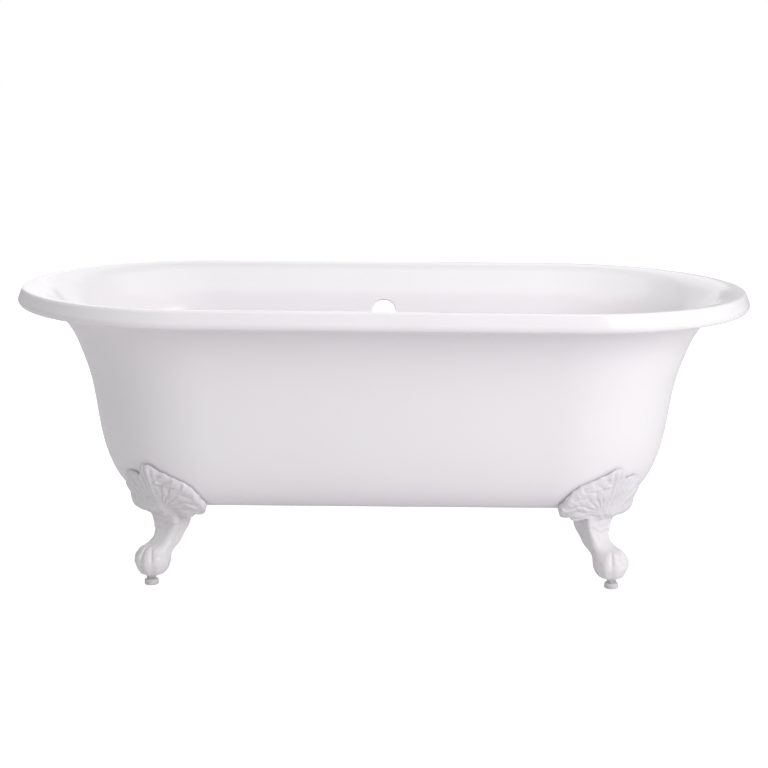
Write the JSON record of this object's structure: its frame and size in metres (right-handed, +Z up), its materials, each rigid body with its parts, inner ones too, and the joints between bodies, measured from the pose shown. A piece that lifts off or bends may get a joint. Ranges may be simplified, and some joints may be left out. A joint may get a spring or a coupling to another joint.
{
  "type": "clawfoot bathtub",
  "caption": "Double-ended roll-rim bathtub of enamelled cast iron on lion-paw feet with screw levellers, open overflow and drain holes.",
  "frame": {"origin": "on the floor under the middle of the tub", "axes": "+X along the tub's length, +Y towards the long side with the overflow hole, +Z up"},
  "size_m": [1.524, 0.762, 0.604],
  "materials": {
    "enamelled_iron": "white porcelain enamel, gloss",
    "painted_iron": "white coat, gloss",
    "plated_steel": "zinc plated",
    "white_plastic": "moulded white nylon"
  },
  "bodies": {
    "tub": {"tub_casting": "enamelled_iron", "foot_front_right": "painted_iron", "foot_bolt_front_right": "plated_steel", "foot_flat_washer_front_right": "plated_steel", "foot_spring_washer_front_right": "plated_steel", "foot_nut_front_right": "plated_steel", "jam_nut_front_right": "plated_steel", "foot_front_left": "painted_iron", "foot_bolt_front_left": "plated_steel", "foot_flat_washer_front_left": "plated_steel", "foot_spring_washer_front_left": "plated_steel", "foot_nut_front_left": "plated_steel", "jam_nut_front_left": "plated_steel", "foot_rear_right": "painted_iron", "foot_bolt_rear_right": "plated_steel", "foot_flat_washer_rear_right": "plated_steel", "foot_spring_washer_rear_right": "plated_steel", "foot_nut_rear_right": "plated_steel", "jam_nut_rear_right": "plated_steel", "foot_rear_left": "painted_iron", "foot_bolt_rear_left": "plated_steel", "foot_flat_washer_rear_left": "plated_steel", "foot_spring_washer_rear_left": "plated_steel", "foot_nut_rear_left": "plated_steel", "jam_nut_rear_left": "plated_steel"},
    "pad_front_right": {"leveller_pad_front_right": "white_plastic"},
    "stud_front_right": {"leveller_stud_front_right": "plated_steel"},
    "pad_front_left": {"leveller_pad_front_left": "white_plastic"},
    "stud_front_left": {"leveller_stud_front_left": "plated_steel"},
    "pad_rear_right": {"leveller_pad_rear_right": "white_plastic"},
    "stud_rear_right": {"leveller_stud_rear_right": "plated_steel"},
    "pad_rear_left": {"leveller_pad_rear_left": "white_plastic"},
    "stud_rear_left": {"leveller_stud_rear_left": "plated_steel"}
  },
  "joints": [
    {"name": "leveller_slide_front_right", "type": "slide", "parent": "tub", "child": "pad_front_right", "axis": [0, 0, -1], "range_m": [0, 0.015]},
    {"name": "stud_turn_front_right", "type": "hinge", "parent": "pad_front_right", "child": "stud_front_right", "pos_m": [0.47597, -0.17792, 0.02], "axis": [0, 0, -1], "range_deg": [0, 3086]},
    {"name": "leveller_slide_front_left", "type": "slide", "parent": "tub", "child": "pad_front_left", "axis": [0, 0, -1], "range_m": [0, 0.015]},
    {"name": "stud_turn_front_left", "type": "hinge", "parent": "pad_front_left", "child": "stud_front_left", "pos_m": [-0.47597, -0.17792, 0.02], "axis": [0, 0, -1], "range_deg": [0, 3086]},
    {"name": "leveller_slide_rear_right", "type": "slide", "parent": "tub", "child": "pad_rear_right", "axis": [0, 0, -1], "range_m": [0, 0.015]},
    {"name": "stud_turn_rear_right", "type": "hinge", "parent": "pad_rear_right", "child": "stud_rear_right", "pos_m": [0.47597, 0.17792, 0.02], "axis": [0, 0, -1], "range_deg": [0, 3086]},
    {"name": "leveller_slide_rear_left", "type": "slide", "parent": "tub", "child": "pad_rear_left", "axis": [0, 0, -1], "range_m": [0, 0.015]},
    {"name": "stud_turn_rear_left", "type": "hinge", "parent": "pad_rear_left", "child": "stud_rear_left", "pos_m": [-0.47597, 0.17792, 0.02], "axis": [0, 0, -1], "range_deg": [0, 3086]}
  ],
  "couplings": [
    {"joint": "stud_turn_front_right", "follows": "leveller_slide_front_right", "rad_per_m": 3590.4},
    {"joint": "stud_turn_front_left", "follows": "leveller_slide_front_left", "rad_per_m": 3590.4},
    {"joint": "stud_turn_rear_right", "follows": "leveller_slide_rear_right", "rad_per_m": 3590.4},
    {"joint": "stud_turn_rear_left", "follows": "leveller_slide_rear_left", "rad_per_m": 3590.4}
  ]
}
